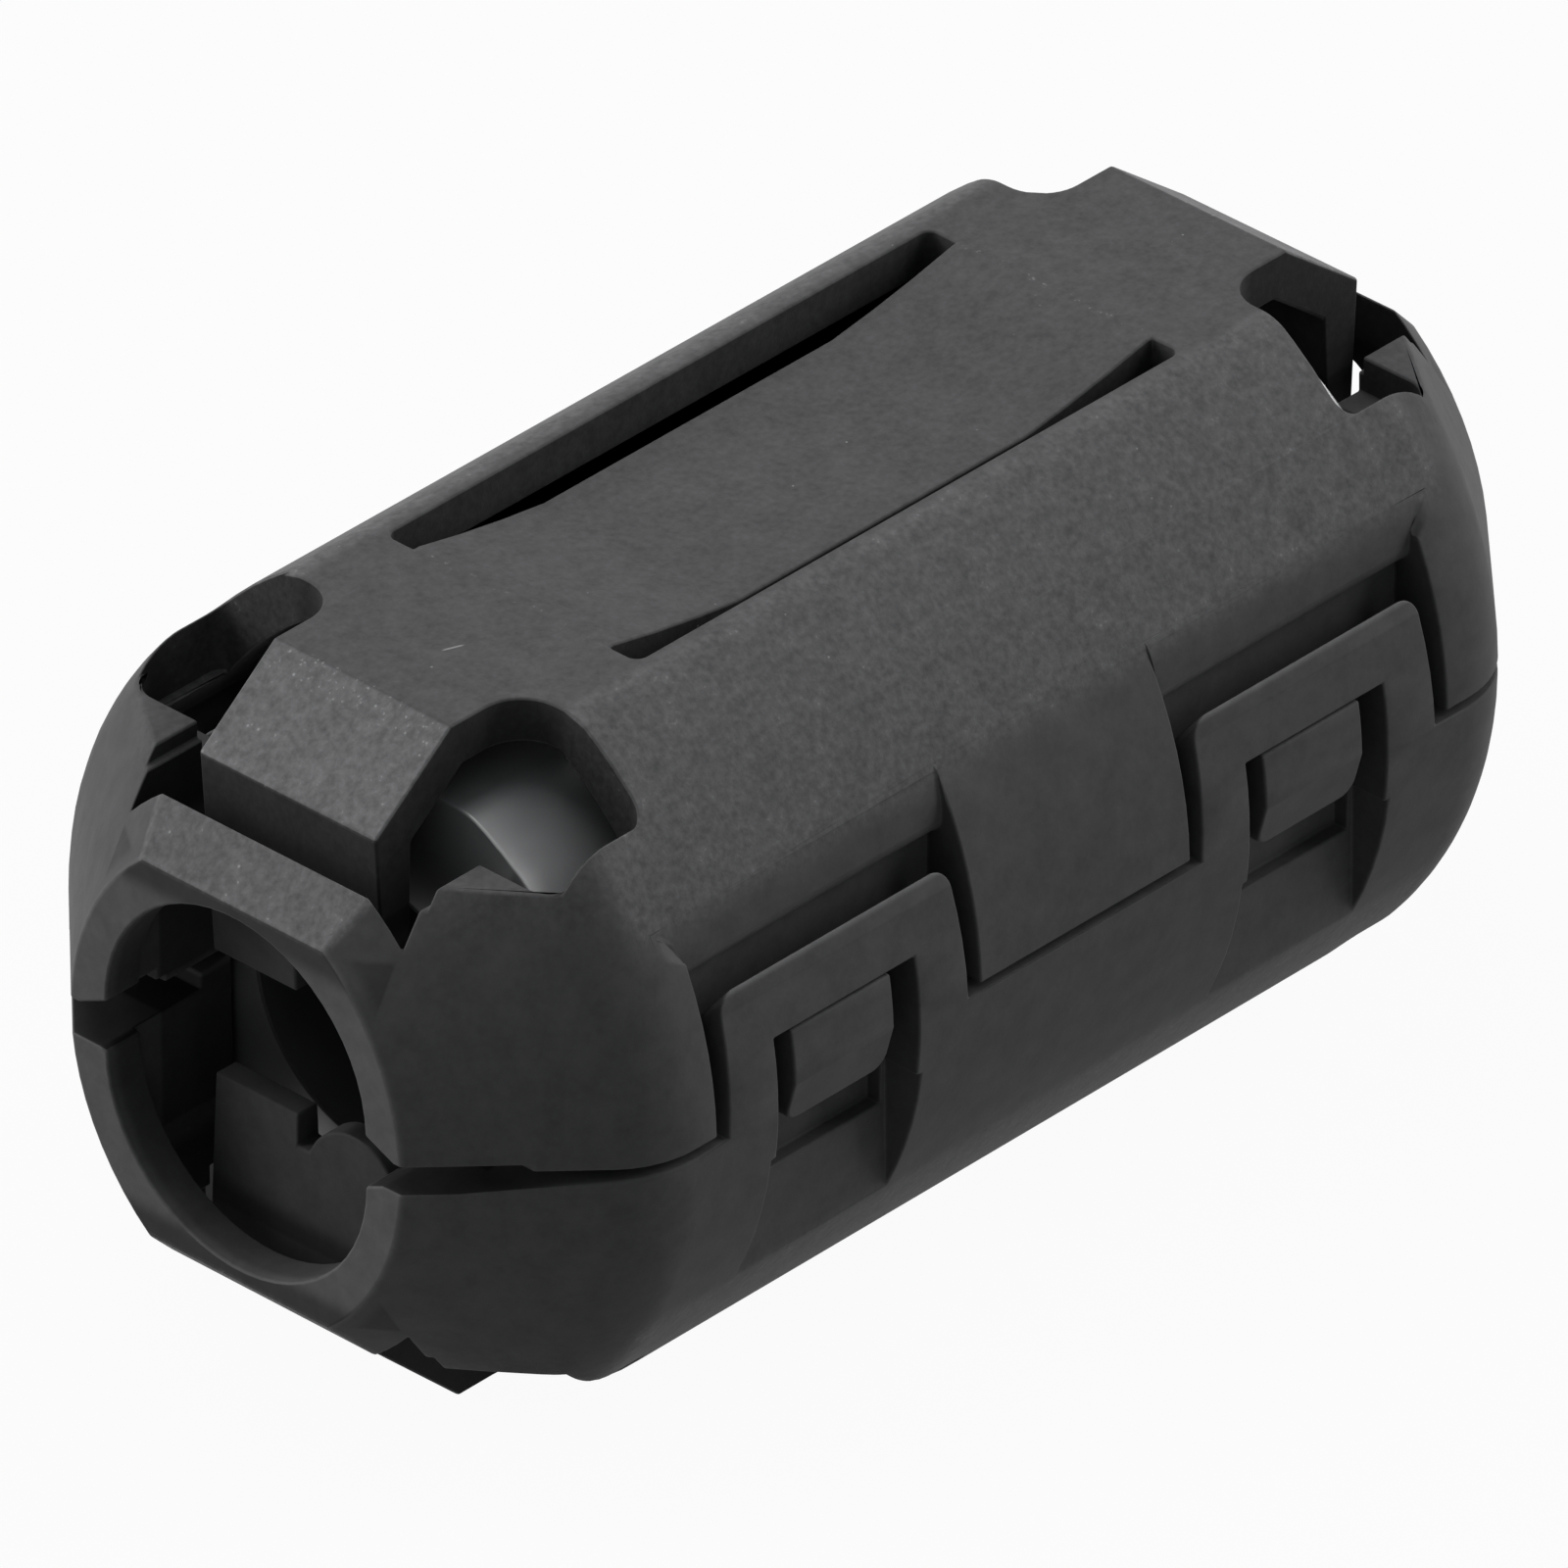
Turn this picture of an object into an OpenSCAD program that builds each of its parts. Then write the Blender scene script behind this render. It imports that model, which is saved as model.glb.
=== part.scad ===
// Clip-on ferrite bead for a round cable.
//
// A moulded nylon case in two half shells, hinged along the back, holds two ground
// halves of a ferrite core. The cable runs along X through the bore of the core.
// The front, where the two snap latches are, faces -Y, and the hinge faces +Y.
// The shells part at Z = 0. The origin is the middle of the cable bore.

/* [Case] */
// Length of the case along the cable
case_l = 25; // [24:0.25:28]
// Width of the closed case at the parting plane
case_w = 12.88; // [12.6:0.04:13.4]
// Height of the closed case over its two flat faces
case_h = 12.43; // [12.3:0.01:13]
// Thickness of the moulded walls
wall = 0.8; // [0.7:0.05:0.85]
// Radius of the crowned sides
side_r = 7.44; // [7.2:0.04:7.6]
// Gap between the closed shells along the body
parting_gap = 0.16; // [0.08:0.02:0.2]
// Gap between the closed shells at the end plates
end_gap = 0.4; // [0.3:0.02:0.5]

/* [Tapered ends] */
// Width of the flat end face at the parting plane
end_w = 7.14; // [6.9:0.02:7.4]
// Height of the flat end face
end_h = 7; // [6.8:0.1:7.4]
// Angle of the side taper in plan
taper_angle = 45; // [42:1:50]
// Radius that blends the sides into the taper
taper_round = 1.8; // [1:0.1:2.5]
// Width of the cable hole in the end face
hole_w = 5.6; // [5:0.1:5.7]
// Height of the cable hole in the end face
hole_h = 6.5; // [6.1:0.1:6.6]
// Thickness of the end plate
plate_t = 0.77; // [0.6:0.01:0.9]
// Height of the edge of the end plate at the slit, over both shells
plate_h = 8.5; // [8.2:0.1:8.8]

/* [Cable fingers] */
// Width of each cable finger
finger_w = 3.8; // [3.4:0.1:4.2]
// Width of the slit between a finger and the end plate, at the nose
slit_w = 0.49; // [0.4:0.01:0.6]
// Length of the slit
slit_l = 6.06; // [5.9:0.02:6.3]
// Width of the passage for the cable below the slit
passage_w = 5.86; // [5.8:0.02:5.88]
// Length of the sloped nose, from the fold of the finger to the end face
nose_l = 2.96; // [2.8:0.02:3.2]
// Drop of the upper fingers from the flat top to the slit
finger_drop = 1.3; // [1.1:0.02:1.4]
// Drop of the lower fingers, which reach less far out
lower_drop = 1.56; // [1.3:0.02:1.6]
// Lean of a finger away from the end plate, over its height
finger_lean = 0.27; // [0:0.01:0.4]
// Thickness of a finger at its tip
tip_t = 0.4; // [0.3:0.02:0.5]
// Gap between the round teeth at the tips of two facing fingers
finger_gap = 2.06; // [1.6:0.02:2.6]
// Radius of the round tooth
tooth_r = 1; // [0.8:0.05:1.05]
// Distance of the round tooth from the middle of the finger
tooth_y = 1.1; // [0.9:0.05:1.2]
// Setback of the flat tooth behind the round one
tooth_step = 0.11; // [0:0.01:0.3]
// Depth of the notch between the two teeth
notch_d = 0.68; // [0.4:0.02:0.9]

/* [Corner openings] */
// Distance of the inner end of a corner opening from the end face
opening_l = 4.5; // [4.3:0.05:4.7]
// Width over the pair of corner openings
opening_w = 9.15; // [8.95:0.05:9.2]
// Distance of the ledge in a corner opening from the end face
ledge_l = 2.4; // [2.2:0.05:2.6]
// Depth of the ledge below the flat top
ledge_drop = 1.76; // [1.7:0.01:1.85]
// Corner radius of the openings beside the finger
finger_root_r = 0.75; // [0.5:0.05:0.85]
// Corner radius of the openings on their outer side
opening_r = 0.3; // [0.15:0.05:0.4]
// Corner radius of the openings above the end stop of the core
stop_r = 0.55; // [0.5:0.05:0.7]

/* [Leaf springs] */
// Length of the slots beside each leaf spring
slot_l = 12.4; // [11:0.1:13]
// Width of each slot
slot_w = 0.6; // [0.4:0.01:0.7]
// Width of each leaf spring
leaf_w = 4.22; // [3.8:0.02:4.4]
// Thickness of each leaf spring beside its flat middle
leaf_t = 0.9; // [0.87:0.01:0.95]
// Length of the bowed part of the leaf spring
bow_l = 12.2; // [10:0.1:12.3]
// Depth that the two bowed ends of the leaf spring run down to
bow_d = 0.7; // [0.6:0.01:0.74]
// Depth of the flat middle of the leaf spring
leaf_d = 0.5; // [0.4:0.01:0.55]
// Corner radius at the outer ends of the slots
slot_r = 0.2; // [0.1:0.05:0.3]

/* [Ferrite core] */
// Length of the core
core_l = 18.8; // [18:0.1:18.8]
// Diameter of the rounded sides of the core
core_d = 10.2; // [9.8:0.1:10.3]
// Height of the core over its two flat faces
core_h = 9.3; // [9:0.05:9.3]
// Width of the core over its ground sides
core_w = 9.2; // [9:0.05:9.2]
// Diameter of the cable bore
bore_d = 5; // [4.5:0.1:5.2]
// Gap between the ground faces of the two closed core halves
core_gap = 0.02; // [0.02:0.01:0.06]
// Clearance between the core and the end stops of the case
core_clearance = 0.15; // [0.1:0.01:0.2]

/* [Latches] */
// Distance between the middles of the two latches
latch_pitch = 10.8; // [10.4:0.1:11]
// Width of a latch loop at its foot
loop_w = 5.46; // [5.3:0.02:5.6]
// Width of a latch loop at its top
loop_top_w = 5.2; // [5:0.02:5.3]
// Height of a latch loop above the parting plane
loop_h = 2.33; // [2.2:0.01:2.5]
// Thickness of a latch loop at the parting plane
loop_t = 0.85; // [0.8:0.01:0.9]
// Corner radius of a latch loop
loop_r = 0.4; // [0.2:0.05:0.5]
// Width of the window in a latch loop
window_w = 3.18; // [3.1:0.01:3.3]
// Height of the window above the parting plane
window_h = 1.2; // [1.1:0.01:1.3]
// Distance of the straight sides of the window below the parting plane
window_d = 1; // [0.9:0.01:1.2]
// Width of the pocket below the window
pocket_w = 3.38; // [3.32:0.01:3.6]
// Width of the recess for the latch loop
recess_w = 5.96; // [5.8:0.02:6]
// Depth of the recess behind the latch loop, at the parting plane
recess_d = 1.14; // [1.1:0.01:1.18]
// Depth of the recess above the latch loop, at the parting plane
recess_top_d = 0.82; // [0.78:0.01:0.85]
// Height of the deep part of the recess above the parting plane
recess_h = 2.5; // [2.45:0.01:2.6]
// Width of a latch hook
hook_w = 2.26; // [2.2:0.02:2.5]
// Distance of each latch hook from the middle of its window
hook_offset = 0.1; // [0:0.01:0.14]
// Reach of a latch hook below the parting plane
hook_reach = 0.62; // [0.5:0.01:0.7]
// Height of the crease above the ramp of a latch hook
hook_crease = 0.22; // [0.15:0.01:0.4]
// Depth of the ramp at the tip of a latch hook
hook_ramp = 0.24; // [0.2:0.02:0.4]
// Depth below the parting plane of the slot that the hook reaches into
hook_slot_h = 1.85; // [1.6:0.01:2]
// Gap between a latch hook and the top of its window
latch_gap = 0.04; // [0.03:0.01:0.1]

/* [Hinge] */
// Width of each hinge web
web_w = 4.6; // [4:0.1:5.4]
// Thickness of the hinge webs
web_t = 0.3; // [0.25:0.01:0.35]
// Outer radius of the bent hinge webs
web_r = 0.62; // [0.58:0.01:0.7]
// Distance between the middles of the two hinge webs
web_pitch = 10.8; // [10:0.1:11.4]

/* [Hidden] */

$fn = 64;
fine_fn = 360;        // segments of the large, shallow arcs
small_fn = 32;        // segments of the small corner arcs
case_colour = [0.25, 0.25, 0.26];
core_colour = [0.20, 0.20, 0.21];
past = 1;             // how far a cut runs past the surface that it opens

half_l = case_l / 2;
half_w = case_w / 2;
half_h = case_h / 2;

// The crowned sides are turned about an axis beyond the middle plane
side_axis = side_r - half_w;
end_r = end_w / 2 + side_axis;
taper_start = half_l - (side_r - end_r) / tan(taper_angle);
round_start = taper_start - taper_round * tan(taper_angle / 2);
round_end = round_start + taper_round * sin(taper_angle);
round_end_r = side_r - taper_round * (1 - cos(taper_angle));

// Along the cable, from the end face inwards
plate_x = half_l - plate_t;
slit_x = plate_x - slit_w;
fold_x = half_l - nose_l;
ledge_x = half_l - ledge_l;
opening_x = half_l - opening_l;

// Heights in the upper shell
roof_z = half_h - wall;
ledge_z = half_h - ledge_drop;
stop_drop = 0.66;     // the core stops end this far below the ledge
stop_z = ledge_z - stop_drop;
slit_sink = 0.1;      // depth of the slit below the edge of the end plate
tip_z = finger_gap / 2;

// The bay for the core, with ribs that touch the ground sides of the core
bay_l = core_l + 2 * core_clearance;
side_gap = 0.15;      // between the core and the walls beside it
bay_w = core_w + 2 * side_gap;
side_wall = 0.85;     // wall outside the bay
rib_l = 1;
rib_h = 3;

// A leaf spring is an arc with its axis above the roof
leaf_r = (bow_l * bow_l / 4 + bow_d * bow_d) / (2 * bow_d);
leaf_axis_z = half_h - bow_d + leaf_r;
leaf_root = 0.15;     // how far the leaf runs into the roof past the slots
opening_between = leaf_w + 2 * slot_w;

// Latches, on the front
latch_x = latch_pitch / 2;
loop_in_y = half_w - loop_t;
recess_y = half_w - recess_d;
recess_top_y = half_w - recess_top_d;
recess_lip_r = recess_top_y - recess_y;
hook_sink = 0.04;     // how far the root of a hook runs into the upper shell
hook_root_y = recess_y - hook_sink;
hook_gap = 0.1;       // between the back of a hook and its slot
hook_back_y = recess_y + hook_gap;
hook_top = window_h - latch_gap;
hook_r = 0.3;
crease_y = sqrt(side_r * side_r - hook_crease * hook_crease) - side_axis;

// Rims at the ends: the lower one slopes down towards the end plate
rim_step = 0.2;       // from the slit inwards to the step in the rims
rim_slope = 0.6;      // from the slit outwards to the foot of the slope
rim_step_x = slit_x - rim_step;
rim_slope_x = slit_x + rim_slope;
rim_drop = 0.3;
ring_notch_h = 0.42;  // gap in the back of the end ring, below the parting plane
flare_h = 1.73;       // half height and half width of the flare that opens the
flare_w = 3.85;       // parting of the end ring towards the cable hole

// The outside of the case -----------------------------------------------------

// Half section of a crowned side, as radius and distance along the cable
module side_outline() {
    polygon([
        [0, -half_l],
        [end_r, -half_l],
        [round_end_r, -round_end],
        [side_r, -round_start],
        [side_r, round_start],
        [round_end_r, round_end],
        [end_r, half_l],
        [0, half_l]
    ]);
    for (x = [-round_start, round_start])
        translate([side_r - taper_round, x])
            circle(r = taper_round);
}

// Solid that gives the front its crown and its tapered ends
module front_crown() {
    translate([0, side_axis, 0])
        rotate([0, 90, 0])
            rotate_extrude($fn = 2 * $fn)
                side_outline();
}

// Outline of the case from the front: flat faces, and noses sloped by the given drop
module nose_profile(drop) {
    rotate([90, 0, 0])
        linear_extrude(height = 2 * case_w, center = true)
            for (side = [0, 1])
                mirror([side, 0])
                    polygon([
                        [0, -half_h],
                        [fold_x, -half_h],
                        [slit_x, drop - half_h],
                        [plate_x, -plate_h / 2],
                        [half_l, -end_h / 2],
                        [half_l, end_h / 2],
                        [plate_x, plate_h / 2],
                        [slit_x, half_h - drop],
                        [fold_x, half_h],
                        [0, half_h]
                    ]);
}

// The whole closed case without its openings
module case_block(drop) {
    intersection() {
        nose_profile(drop);
        front_crown();
        mirror([0, 1, 0])
            front_crown();
    }
}

// Openings, all drawn for the upper shell ---------------------------------------

// Repeats its children at both ends of the case
module both_ends() {
    children();
    mirror([1, 0, 0])
        children();
}

// Repeats its children at both corners of each end
module four_corners() {
    both_ends() {
        children();
        mirror([0, 1, 0])
            children();
    }
}

// What is left in a square corner when the corner is rounded
module corner_fillet(r) {
    difference() {
        square(r);
        translate([r, r])
            circle(r = r, $fn = small_fn);
    }
}

// Bay that holds the core, with its ribs left standing
module core_bay() {
    bay_r = side_r - side_wall;
    difference() {
        intersection() {
            cube([bay_l, bay_w, 2 * roof_z], center = true);
            translate([0, side_axis, 0])
                rotate([0, 90, 0])
                    cylinder(r = bay_r, h = case_l, center = true);
            translate([0, -side_axis, 0])
                rotate([0, 90, 0])
                    cylinder(r = bay_r, h = case_l, center = true);
        }
        four_corners()
            translate([latch_x - rib_l / 2, core_w / 2, -rib_h])
                cube([rib_l, bay_w, 2 * rib_h]);
    }
}

// Space between the core and the end plate, with the slit around the finger above
module end_passage() {
    translate([bay_l / 2 - past, -passage_w / 2, -past])
        cube([plate_x - bay_l / 2 + past, passage_w, roof_z + past]);
    translate([fold_x, -slit_l / 2, plate_h / 2 - slit_sink])
        cube([plate_x - fold_x, slit_l, case_h]);
}

// Cable hole in the end plate, flared at the parting
module cable_hole() {
    arc_z = (hole_h - hole_w) / 2;
    translate([slit_x, 0, arc_z])
        rotate([0, 90, 0])
            cylinder(d = hole_w, h = nose_l);
    translate([slit_x, -hole_w / 2, -past])
        cube([nose_l, hole_w, past + arc_z]);
    translate([slit_x, 0, 0])
        rotate([90, 0, 90])
            linear_extrude(height = nose_l)
                polygon([[-flare_w, 0], [0, -flare_h], [flare_w, 0], [0, flare_h]]);
}

// Plan of a corner opening, from its inner end to the given distance along the cable,
// with the given radius at its outer corner there
module opening_plan(to_x, to_r) {
    inner_y = finger_w / 2;
    outer_y = opening_w / 2;
    difference() {
        translate([opening_x, inner_y])
            square([to_x - opening_x, outer_y - inner_y]);
        translate([to_x, outer_y])
            rotate(180)
                corner_fillet(to_r);
        translate([opening_x, inner_y])
            corner_fillet(finger_root_r);
        translate([opening_x, outer_y])
            mirror([0, 1])
                corner_fillet(opening_r);
    }
}

// Corner opening, with a ledge over the end stop of the core
module corner_opening() {
    translate([0, 0, stop_z])
        linear_extrude(height = case_h)
            opening_plan(ledge_x, stop_r);
    translate([0, 0, ledge_z])
        linear_extrude(height = case_h)
            opening_plan(plate_x, opening_r);
}

// Opening in the roof for a leaf spring and its slots
module leaf_opening() {
    translate([0, 0, roof_z - past])
        linear_extrude(height = wall + 2 * past)
            difference() {
                square([slot_l, opening_between], center = true);
                for (side = [0, 1], end = [0, 1])
                    mirror([side, 0])
                        mirror([0, end])
                            translate([-slot_l / 2, -opening_between / 2])
                                corner_fillet(slot_r);
            }
}

// Parts that stand in the openings -----------------------------------------------

// Leaf spring that presses on the core, bowed at both ends and flat in its middle
module leaf_spring() {
    leaf_l = slot_l + 2 * leaf_root;
    rotate([90, 0, 0])
        linear_extrude(height = leaf_w, center = true)
            difference() {
                intersection() {
                    translate([-leaf_l / 2, core_h / 2])
                        square([leaf_l, half_h - core_h / 2]);
                    translate([0, leaf_axis_z])
                        circle(r = leaf_r + leaf_t, $fn = fine_fn);
                }
                intersection() {
                    translate([-leaf_l / 2, half_h - leaf_d])
                        square([leaf_l, case_h]);
                    translate([0, leaf_axis_z])
                        circle(r = leaf_r, $fn = fine_fn);
                }
            }
}

// Front view of all that the tip of a finger leaves free: a flat tooth, a notch
// and a round tooth
module finger_tip() {
    notch_z = tip_z + notch_d;
    notch_y = tooth_r - tooth_y;
    translate([-notch_y, 0])
        square([finger_w, tip_z + tooth_step]);
    difference() {
        translate([-notch_y - finger_w, 0])
            square([finger_w, notch_z]);
        translate([-tooth_y, tip_z + tooth_r])
            circle(r = tooth_r);
    }
}

// Finger that springs against the cable, folded down from the roof
module cable_finger(drop) {
    slope = drop / (slit_x - fold_x);
    inner_drop = wall / cos(atan(slope));
    root_x = opening_x + finger_root_r;
    inner_fold_x = fold_x + (wall - inner_drop) / slope;
    inner_x = slit_x - wall;
    tip_x = slit_x - finger_lean;
    difference() {
        rotate([90, 0, 0])
            linear_extrude(height = finger_w, center = true)
                polygon([
                    [root_x, half_h],
                    [fold_x, half_h],
                    [slit_x, half_h - drop],
                    [tip_x, tip_z / 2],
                    [tip_x - tip_t, tip_z / 2],
                    [inner_x, half_h - inner_drop - (inner_x - fold_x) * slope],
                    [inner_fold_x, roof_z],
                    [root_x, roof_z]
                ]);
        translate([opening_x, 0, 0])
            rotate([90, 0, 90])
                linear_extrude(height = nose_l + past)
                    finger_tip();
    }
}

// Shell common to both halves, drawn as the upper one, with the drop of its fingers
module half_shell(drop) {
    difference() {
        intersection() {
            case_block(drop);
            translate([-case_l, -case_w, parting_gap / 2])
                cube([2 * case_l, 2 * case_w, case_h]);
        }
        core_bay();
        both_ends() {
            end_passage();
            cable_hole();
            translate([rim_step_x, -case_w, 0])
                cube([case_l, 2 * case_w, end_gap / 2]);
        }
        four_corners()
            corner_opening();
        leaf_opening();
    }
    leaf_spring();
    both_ends()
        cable_finger(drop);
}

// Latches, drawn for the right-hand side ------------------------------------------

// Recess in the upper shell that the loop snaps into, deeper behind the loop and
// with a round lip above it
module loop_recess() {
    translate([latch_x - recess_w / 2, 0, 0])
        rotate([90, 0, 90])
            linear_extrude(height = recess_w) {
                translate([-recess_top_y - half_w, -past])
                    square([half_w, case_h]);
                difference() {
                    translate([-recess_y - half_w, -past])
                        square([half_w, recess_h + recess_lip_r + past]);
                    translate([-recess_y, recess_h + recess_lip_r])
                        circle(r = recess_lip_r, $fn = small_fn);
                }
            }
}

// Pocket in the lower shell under the window, with a slot for the tip of the hook
module hook_pocket() {
    translate([latch_x - window_w / 2, -recess_y - half_w, -hook_slot_h])
        cube([window_w, half_w, hook_slot_h + past]);
    translate([latch_x - window_w / 2, -loop_in_y - half_w, -window_d - past])
        cube([window_w, half_w, window_d + 2 * past]);
    translate([latch_x - pocket_w / 2, -loop_in_y - half_w, -half_h])
        cube([pocket_w, half_w, half_h - window_d]);
}

// Front view of a bar with its two lower corners rounded
module round_foot(w, low, high, r) {
    difference() {
        translate([-w / 2, low])
            square([w, high - low]);
        for (side = [0, 1])
            mirror([side, 0])
                translate([-w / 2, low])
                    corner_fillet(r);
    }
}

// Hook of the upper shell, with a ramp that opens the loop
module latch_hook() {
    intersection() {
        front_crown();
        translate([latch_x, 0, 0])
            rotate([90, 0, 0])
                linear_extrude(height = case_w)
                    round_foot(hook_w, -hook_reach, hook_top, hook_r);
        translate([latch_x, 0, 0])
            rotate([90, 0, 90])
                linear_extrude(height = 2 * hook_w, center = true)
                    polygon([
                        [-hook_root_y, hook_top],
                        [-case_w, hook_top],
                        [-crease_y, hook_crease],
                        [hook_ramp - crease_y, -hook_reach],
                        [-hook_back_y, -hook_reach],
                        [-hook_back_y, parting_gap / 2],
                        [-hook_root_y, parting_gap / 2]
                    ]);
    }
}

// Front view of a latch loop without its window
module loop_front() {
    foot_z = -parting_gap / 2;
    lean = (loop_w - loop_top_w) / 2 / (loop_h - foot_z);
    difference() {
        polygon([
            [-loop_w / 2, foot_z],
            [-loop_top_w / 2, loop_h],
            [loop_top_w / 2, loop_h],
            [loop_w / 2, foot_z]
        ]);
        for (side = [0, 1])
            mirror([side, 0])
                translate([loop_top_w / 2 + lean * loop_r, loop_h])
                    rotate(180)
                        corner_fillet(loop_r);
    }
}

// Springy loop of the lower shell that catches the hook
module latch_loop() {
    difference() {
        intersection() {
            front_crown();
            translate([latch_x, -loop_in_y, 0])
                rotate([90, 0, 0])
                    linear_extrude(height = half_w)
                        loop_front();
        }
        translate([latch_x - window_w / 2, -case_w, -past])
            cube([window_w, case_w, window_h + past]);
    }
}

// Thin bent web that joins the shells along the back
module hinge_web() {
    difference() {
        translate([web_pitch / 2 - web_w / 2, half_w, 0])
            rotate([0, 90, 0])
                difference() {
                    cylinder(r = web_r, h = web_w);
                    translate([0, 0, -past])
                        cylinder(r = web_r - web_t, h = web_w + 2 * past);
                }
        mirror([0, 1, 0])
            front_crown();
    }
}

// What the rim of the lower shell leaves free where it slopes down to the end plate
module sloped_rim() {
    rotate([90, 0, 0])
        linear_extrude(height = 2 * case_w, center = true)
            polygon([
                [taper_start, -parting_gap / 2],
                [rim_slope_x, -rim_drop],
                [case_l, -rim_drop],
                [case_l, case_h],
                [taper_start, case_h]
            ]);
}

// Pieces ---------------------------------------------------------------------------

// Lower shell, with the pockets for the hooks
module case_lower() {
    color(case_colour)
        difference() {
            mirror([0, 0, 1])
                half_shell(lower_drop);
            both_ends() {
                hook_pocket();
                sloped_rim();
                translate([slit_x - past, 0, -ring_notch_h])
                    cube([case_l, half_w, case_h]);
            }
        }
}

// Upper shell, with the recesses for the loops and the hooks
module case_upper() {
    color(case_colour) {
        difference() {
            half_shell(finger_drop);
            both_ends()
                loop_recess();
        }
        translate([-hook_offset, 0, 0])
            both_ends()
                latch_hook();
    }
}

// One half of the core, drawn as the upper one
module half_core() {
    difference() {
        intersection() {
            rotate([0, 90, 0])
                cylinder(d = core_d, h = core_l, center = true);
            translate([-core_l / 2, -core_w / 2, core_gap / 2])
                cube([core_l, core_w, (core_h - core_gap) / 2]);
        }
        rotate([0, 90, 0])
            cylinder(d = bore_d, h = core_l + 2 * past, center = true);
    }
}

module core_lower() {
    color(core_colour)
        mirror([0, 0, 1])
            half_core();
}

module core_upper() {
    color(core_colour)
        half_core();
}

module latch_loop_left() {
    color(case_colour)
        mirror([1, 0, 0])
            latch_loop();
}

module latch_loop_right() {
    color(case_colour)
        latch_loop();
}

module hinge_web_left() {
    color(case_colour)
        mirror([1, 0, 0])
            hinge_web();
}

module hinge_web_right() {
    color(case_colour)
        hinge_web();
}

case_lower();
case_upper();
core_lower();
core_upper();
latch_loop_left();
latch_loop_right();
hinge_web_left();
hinge_web_right();
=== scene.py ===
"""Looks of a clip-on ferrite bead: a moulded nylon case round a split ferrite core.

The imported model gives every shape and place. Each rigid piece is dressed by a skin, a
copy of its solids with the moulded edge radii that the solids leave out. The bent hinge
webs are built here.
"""

import logging
import math
from dataclasses import dataclass, field
from enum import Enum
from typing import Any, Sequence, Union

import bmesh
import bpy
from mathutils import Matrix, Vector
from mathutils.bvhtree import BVHTree


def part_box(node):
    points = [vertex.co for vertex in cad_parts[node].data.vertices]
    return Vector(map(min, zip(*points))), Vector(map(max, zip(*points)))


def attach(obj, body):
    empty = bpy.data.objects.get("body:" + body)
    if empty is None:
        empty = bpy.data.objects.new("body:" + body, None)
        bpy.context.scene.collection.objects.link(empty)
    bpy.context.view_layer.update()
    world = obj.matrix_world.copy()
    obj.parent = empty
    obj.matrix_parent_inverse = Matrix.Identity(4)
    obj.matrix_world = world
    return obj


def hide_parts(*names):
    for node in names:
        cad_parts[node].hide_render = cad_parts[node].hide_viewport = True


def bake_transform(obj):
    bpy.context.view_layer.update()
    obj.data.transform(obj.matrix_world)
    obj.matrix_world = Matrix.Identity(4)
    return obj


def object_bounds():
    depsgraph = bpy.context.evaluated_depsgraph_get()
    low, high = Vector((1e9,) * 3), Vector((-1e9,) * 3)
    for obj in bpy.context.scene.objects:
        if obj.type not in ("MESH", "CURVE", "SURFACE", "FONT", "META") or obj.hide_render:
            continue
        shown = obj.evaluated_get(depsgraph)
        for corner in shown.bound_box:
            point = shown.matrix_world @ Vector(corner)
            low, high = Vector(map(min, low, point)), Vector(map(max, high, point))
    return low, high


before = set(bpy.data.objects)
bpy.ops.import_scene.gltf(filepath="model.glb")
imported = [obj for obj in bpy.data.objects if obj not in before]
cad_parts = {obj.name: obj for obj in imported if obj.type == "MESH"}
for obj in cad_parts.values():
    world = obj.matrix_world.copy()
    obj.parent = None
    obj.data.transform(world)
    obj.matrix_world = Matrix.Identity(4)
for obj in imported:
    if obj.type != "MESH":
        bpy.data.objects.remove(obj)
CAD_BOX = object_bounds()

LOG = logging.getLogger("ferrite_bead")
MM = 0.001

LOWER_MOULDING = ("case_lower", "latch_loop_left", "latch_loop_right")

NOISE_MEAN = 0.5  # a noise's middle value
MOST_GAIN = 4.0  # the strongest gain that a toned colour takes
SPECK_CORE = 0.6  # the share of a speck's radius that is fully pale

Colour = tuple[float, float, float]
Feed = Union["Sock", float, Sequence[float]]
Fade = tuple[float, float]  # where a mask is 0 and where it is 1, rising or falling


class Body(str, Enum):
    """The two rigid halves that the hinge joins."""

    LOWER = "lower_half"
    UPPER = "upper_half"


class Slot(str, Enum):
    """The record's material slots."""

    NYLON = "case_nylon"
    FERRITE = "ferrite"


# ----------------------------------------------------------------- shader helpers


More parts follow.
